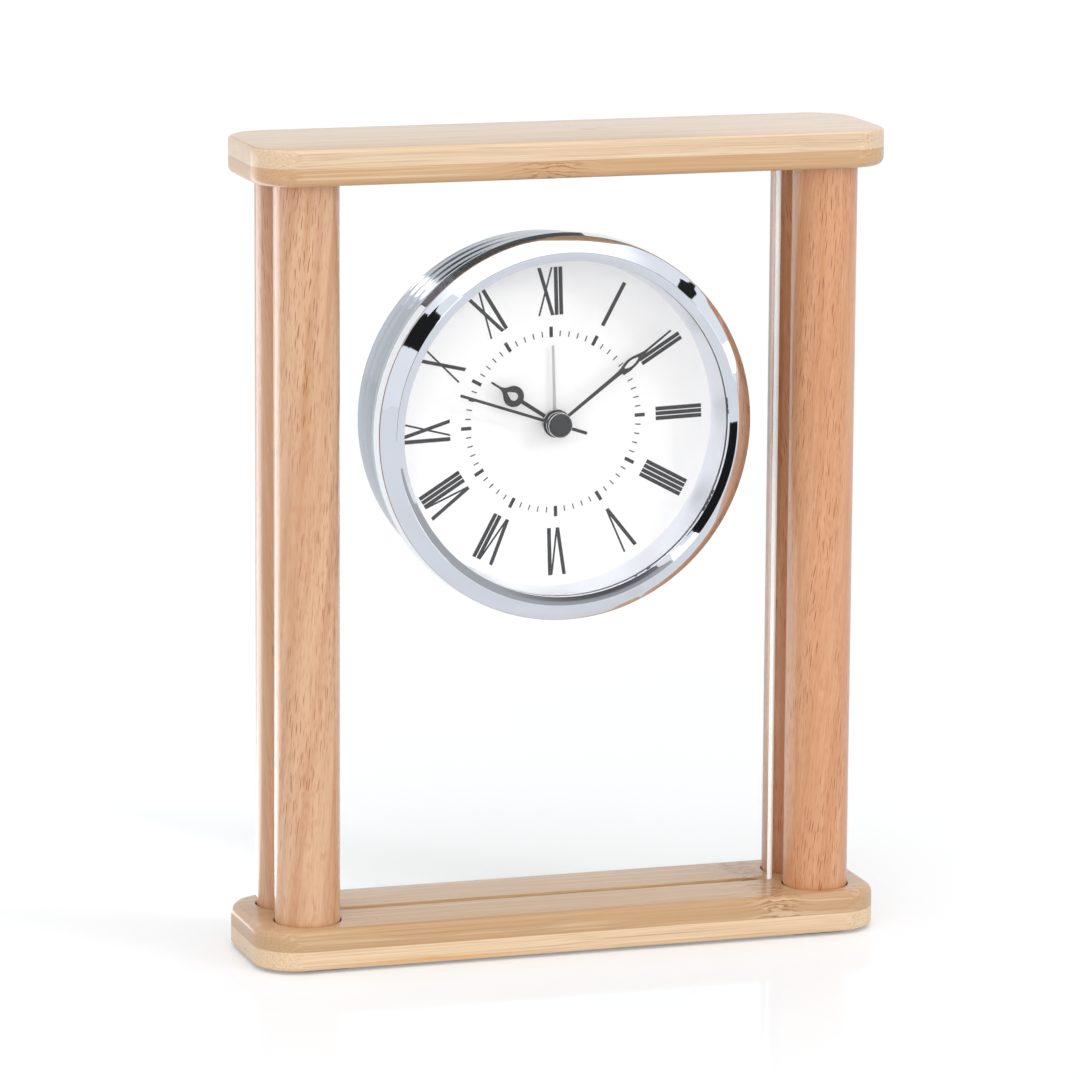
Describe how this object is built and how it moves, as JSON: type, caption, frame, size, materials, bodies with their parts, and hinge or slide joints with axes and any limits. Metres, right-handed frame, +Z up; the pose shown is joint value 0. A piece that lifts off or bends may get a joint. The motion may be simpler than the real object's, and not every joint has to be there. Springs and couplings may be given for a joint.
{
  "type": "desk clock",
  "caption": "Round quartz alarm clock with Roman numerals, set in a clear glass pane between wooden boards that round wooden columns join.",
  "frame": {"origin": "centre of the footprint, on the surface that the felt pads stand on", "axes": "+Z up, +Y away from the reader of the dial, +X to the reader's right"},
  "size_m": [0.159, 0.0408, 0.2],
  "materials": {
    "bamboo": "satin oiled bamboo",
    "beech": "satin lacquered beech dowel",
    "pane_glass": "clear polished",
    "crystal_glass": "clear polished",
    "chrome": "mirror polished",
    "satin_metal": "satin chrome",
    "dial_white": "matt white print ground",
    "hand_black": "satin black",
    "hand_silver": "satin",
    "felt": "black felt",
    "sleeve_rubber": "grey translucent",
    "zinc": "zinc plated",
    "case_plastic": "fine spark-eroded texture",
    "switch_plastic": "light grey",
    "plate_plastic": "natural acetal",
    "gear_plastic": "ivory acetal",
    "gear_brass": "bright",
    "core_iron": "stamped",
    "coil_copper": "enamelled copper wire",
    "board_green": "solder mask",
    "chip_black": "potting resin",
    "can_metal": "drawn can",
    "buzzer_black": "moulded",
    "battery_wrap": "printed sleeve",
    "contact_metal": "nickel plated"
  },
  "bodies": {
    "clock": {"base_board": "bamboo", "top_board": "bamboo", "column_front_left": "beech", "column_front_right": "beech", "column_rear_left": "beech", "column_rear_right": "beech", "glass_pane": "pane_glass", "crystal": "crystal_glass", "bezel": "chrome", "case_drum": "satin_metal", "spacer_ring": "satin_metal", "dial": "dial_white", "foot_pad_left": "felt", "foot_pad_right": "felt", "pane_sleeve": "sleeve_rubber", "base_screws": "zinc", "cover_screws": "zinc", "rear_cover": "case_plastic", "movement_plate": "plate_plastic", "movement_bridge": "plate_plastic", "stator": "core_iron", "coil_core": "core_iron", "coil": "coil_copper", "circuit_board": "board_green", "timing_chip": "chip_black", "timing_crystal": "can_metal", "buzzer": "buzzer_black", "battery": "battery_wrap", "battery_contact_positive": "contact_metal", "battery_contact_negative": "contact_metal"},
    "second_hand": {"second_wheel": "gear_brass", "second_hand": "hand_black", "hub_cap": "hand_black"},
    "minute_hand": {"centre_wheel": "gear_brass", "minute_hand": "hand_black"},
    "hour_hand": {"hour_wheel": "gear_brass", "hour_hand": "hand_black"},
    "alarm_hand": {"alarm_wheel": "gear_brass", "alarm_hand": "hand_silver"},
    "third_wheel": {"third_wheel": "gear_plastic"},
    "intermediate_wheel": {"intermediate_wheel": "gear_plastic"},
    "rotor": {"rotor": "gear_plastic"},
    "motion_wheel": {"motion_wheel": "gear_plastic"},
    "time_setting": {"time_set_shaft": "gear_plastic", "time_set_knob": "case_plastic"},
    "alarm_setting": {"alarm_set_shaft": "gear_plastic", "alarm_set_knob": "case_plastic"},
    "alarm_switch": {"alarm_switch": "switch_plastic"},
    "battery_door": {"battery_door": "case_plastic"}
  },
  "joints": [
    {"name": "second_hand_turn", "type": "hinge", "parent": "clock", "child": "second_hand", "pos_m": [0, 0, 0.1283], "axis": [0, 1, 0], "continuous": true},
    {"name": "minute_hand_turn", "type": "hinge", "parent": "clock", "child": "minute_hand", "pos_m": [0, 0, 0.1283], "axis": [0, 1, 0], "continuous": true},
    {"name": "hour_hand_turn", "type": "hinge", "parent": "clock", "child": "hour_hand", "pos_m": [0, 0, 0.1283], "axis": [0, 1, 0], "continuous": true},
    {"name": "third_wheel_turn", "type": "hinge", "parent": "clock", "child": "third_wheel", "pos_m": [-0.00799, 0, 0.12335], "axis": [0, 1, 0], "continuous": true},
    {"name": "intermediate_wheel_turn", "type": "hinge", "parent": "clock", "child": "intermediate_wheel", "pos_m": [-0.0003, 0, 0.13775], "axis": [0, 1, 0], "continuous": true},
    {"name": "rotor_turn", "type": "hinge", "parent": "clock", "child": "rotor", "pos_m": [0.00311, 0, 0.14409], "axis": [0, 1, 0], "continuous": true},
    {"name": "motion_wheel_turn", "type": "hinge", "parent": "clock", "child": "motion_wheel", "pos_m": [0.00846, 0, 0.12376], "axis": [0, 1, 0], "continuous": true},
    {"name": "time_setting_turn", "type": "hinge", "parent": "clock", "child": "time_setting", "pos_m": [0.01498, 0, 0.13237], "axis": [0, 1, 0], "continuous": true},
    {"name": "alarm_hand_turn", "type": "hinge", "parent": "clock", "child": "alarm_hand", "pos_m": [0, 0, 0.1283], "axis": [0, 1, 0], "continuous": true},
    {"name": "alarm_setting_turn", "type": "hinge", "parent": "clock", "child": "alarm_setting", "pos_m": [-0.01528, 0, 0.13142], "axis": [0, 1, 0], "continuous": true},
    {"name": "alarm_switch_slide", "type": "slide", "parent": "clock", "child": "alarm_switch", "axis": [0.9995, 0, 0.0314], "range_m": [0, 0.004]},
    {"name": "battery_door_swing", "type": "hinge", "parent": "clock", "child": "battery_door", "pos_m": [0.00097, 0.01935, 0.09732], "axis": [-0.9995, 0, -0.0314], "range_deg": [0, 100]}
  ],
  "couplings": [
    {"joint": "minute_hand_turn", "follows": "second_hand_turn", "ratio": 0.016667},
    {"joint": "hour_hand_turn", "follows": "second_hand_turn", "ratio": 0.0013889},
    {"joint": "third_wheel_turn", "follows": "second_hand_turn", "ratio": -0.13333},
    {"joint": "intermediate_wheel_turn", "follows": "second_hand_turn", "ratio": -6},
    {"joint": "rotor_turn", "follows": "second_hand_turn", "ratio": 30},
    {"joint": "motion_wheel_turn", "follows": "second_hand_turn", "ratio": -0.0055556},
    {"joint": "time_setting_turn", "follows": "second_hand_turn", "ratio": 0.011111},
    {"joint": "alarm_setting_turn", "follows": "alarm_hand_turn", "ratio": -1.0526}
  ]
}
